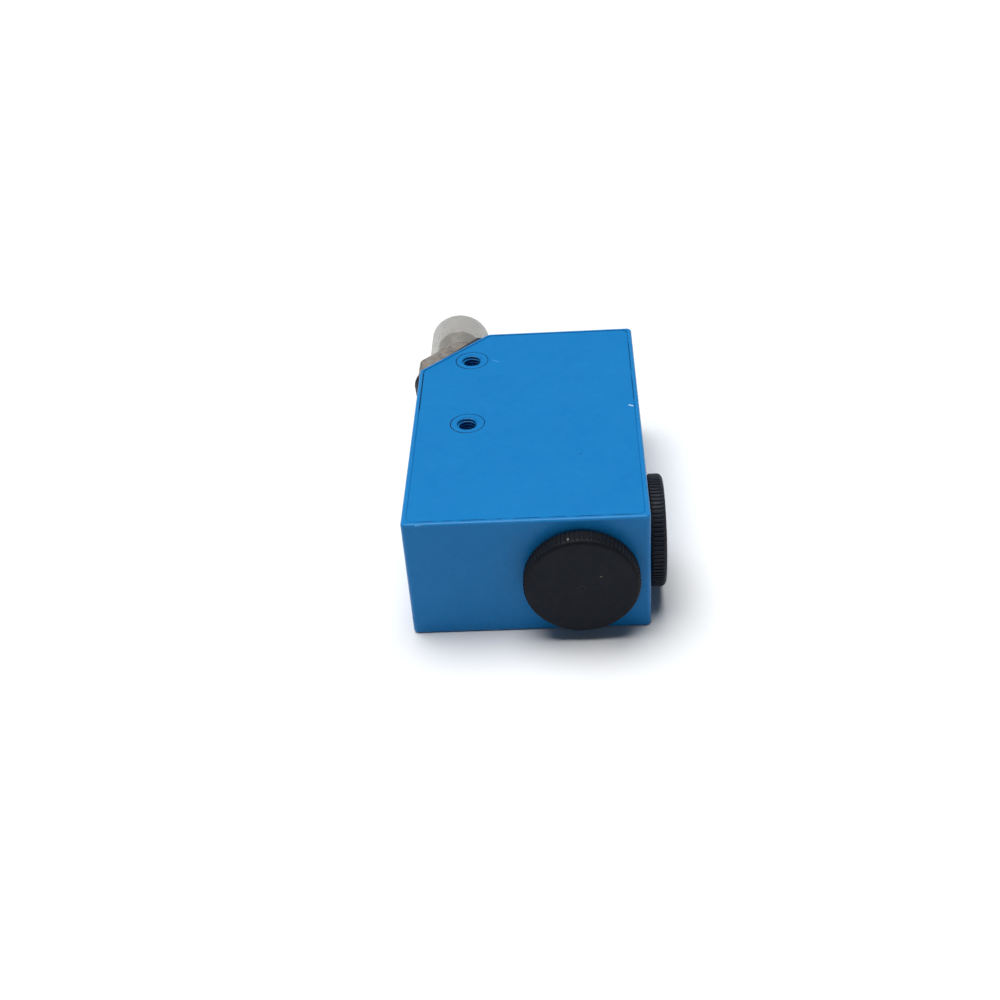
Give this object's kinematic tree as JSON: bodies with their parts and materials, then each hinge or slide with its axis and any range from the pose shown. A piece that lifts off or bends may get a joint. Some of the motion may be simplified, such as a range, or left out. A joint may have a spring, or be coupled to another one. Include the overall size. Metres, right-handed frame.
{
  "type": "photoelectric sensor",
  "caption": "Photoelectric contrast sensor: metal housing with a cut corner, turnable round plug with dust cap, screw-in lens unit and blind cap, and a small operating panel.",
  "frame": {"origin": "centre of the housing's large rest face, opposite the mounting face", "axes": "+Z out of the mounting face with the two threads, +Y along the housing towards the plug, +X towards the side of the lens unit"},
  "size_m": [0.0584, 0.1094, 0.0304],
  "materials": {
    "blue_paint": "semi-gloss",
    "seal_rubber": "matte",
    "label_foil": "satin",
    "black_cap_plastic": "matte",
    "lens_glass": "polished",
    "anodised_black": "satin",
    "base_plastic": "matte",
    "nickel_zinc": "satin",
    "spring_steel": "satin",
    "nickel_brass": "satin",
    "insert_plastic": "matte",
    "gold": "polished",
    "lead_sheath": "matte",
    "dust_cap_plastic": "translucent",
    "splitter_mirror": "half-silvered",
    "led_epoxy": "clear",
    "chip_black": "matte",
    "board_green": "satin",
    "screw_steel": "satin",
    "ribbon_plastic": "satin",
    "panel_plastic": "matte",
    "window_smoke": "gloss",
    "clear_plastic": "clear",
    "button_plastic": "matte",
    "selector_plastic": "matte"
  },
  "bodies": {
    "housing": {"housing_shell": "blue_paint", "cover_plate": "blue_paint", "cover_gasket": "seal_rubber", "type_plate": "label_foil", "base_plate": "base_plastic", "housing_leads": "lead_sheath", "optics_block": "anodised_black", "beam_splitter": "splitter_mirror", "condenser_lens": "lens_glass", "receiver_lens": "lens_glass", "emitter_led": "led_epoxy", "receiver_diode": "chip_black", "emitter_board": "board_green", "receiver_board": "board_green", "optics_screws": "screw_steel", "main_board": "board_green", "board_components": "chip_black", "board_screws": "screw_steel", "display_board": "board_green", "display_screws": "screw_steel", "indicator_lamps": "led_epoxy", "display_cable": "ribbon_plastic", "emitter_cable": "ribbon_plastic", "receiver_cable": "ribbon_plastic", "panel_frame": "panel_plastic", "panel_window": "window_smoke", "light_guide": "clear_plastic", "teach_switch": "chip_black", "selector_seal": "seal_rubber", "selector_switch": "chip_black"},
    "swivel": {"swivel_block": "nickel_zinc", "swivel_seal": "seal_rubber", "swivel_retainer": "spring_steel", "connector_sleeve": "nickel_brass", "connector_insert": "insert_plastic", "contact_pins": "gold", "plug_leads": "lead_sheath"},
    "dust_cap": {"dust_cap": "dust_cap_plastic"},
    "blind_cap_seal": {"blind_cap_seal": "seal_rubber"},
    "blind_cap": {"blind_cap": "black_cap_plastic"},
    "lens_seal": {"lens_seal": "seal_rubber"},
    "lens_unit": {"lens_ring": "black_cap_plastic", "objective_lens": "lens_glass", "lens_retainer": "anodised_black"},
    "teach_button": {"teach_button": "button_plastic"},
    "rotary_selector": {"rotary_selector": "selector_plastic"}
  },
  "joints": [
    {"name": "plug_swivel", "type": "hinge", "parent": "housing", "child": "swivel", "pos_m": [-0.01825, 0.03175, 0.0152], "axis": [0.7071, -0.7071, 0], "range_deg": [0, 180]},
    {"name": "dust_cap_pull", "type": "slide", "parent": "swivel", "child": "dust_cap", "axis": [0, 1, 0], "range_m": [0, 0.014]},
    {"name": "blind_cap_travel", "type": "slide", "parent": "housing", "child": "blind_cap_seal", "axis": [0, -1, 0], "range_m": [0, 0.0045]},
    {"name": "blind_cap_turn", "type": "hinge", "parent": "blind_cap_seal", "child": "blind_cap", "pos_m": [0.0115, -0.04, 0.0152], "axis": [0, -1, 0], "range_deg": [0, 1081]},
    {"name": "lens_travel", "type": "slide", "parent": "housing", "child": "lens_seal", "axis": [1, 0, 0], "range_m": [0, 0.0045]},
    {"name": "lens_turn", "type": "hinge", "parent": "lens_seal", "child": "lens_unit", "pos_m": [0.0265, -0.025, 0.0152], "axis": [1, 0, 0], "range_deg": [0, 1081]},
    {"name": "teach_press", "type": "slide", "parent": "housing", "child": "teach_button", "axis": [0, -1, 0], "range_m": [0, 0.0004], "stiffness_N_per_m": 400, "springref_m": -0.0002},
    {"name": "selector_turn", "type": "hinge", "parent": "housing", "child": "rotary_selector", "pos_m": [0.0148, 0.04, 0.0106], "axis": [0, 1, 0], "range_deg": [0, 90]}
  ],
  "couplings": [
    {"joint": "blind_cap_turn", "follows": "blind_cap_travel", "rad_per_m": 4188.8},
    {"joint": "lens_turn", "follows": "lens_travel", "rad_per_m": 4188.8}
  ]
}
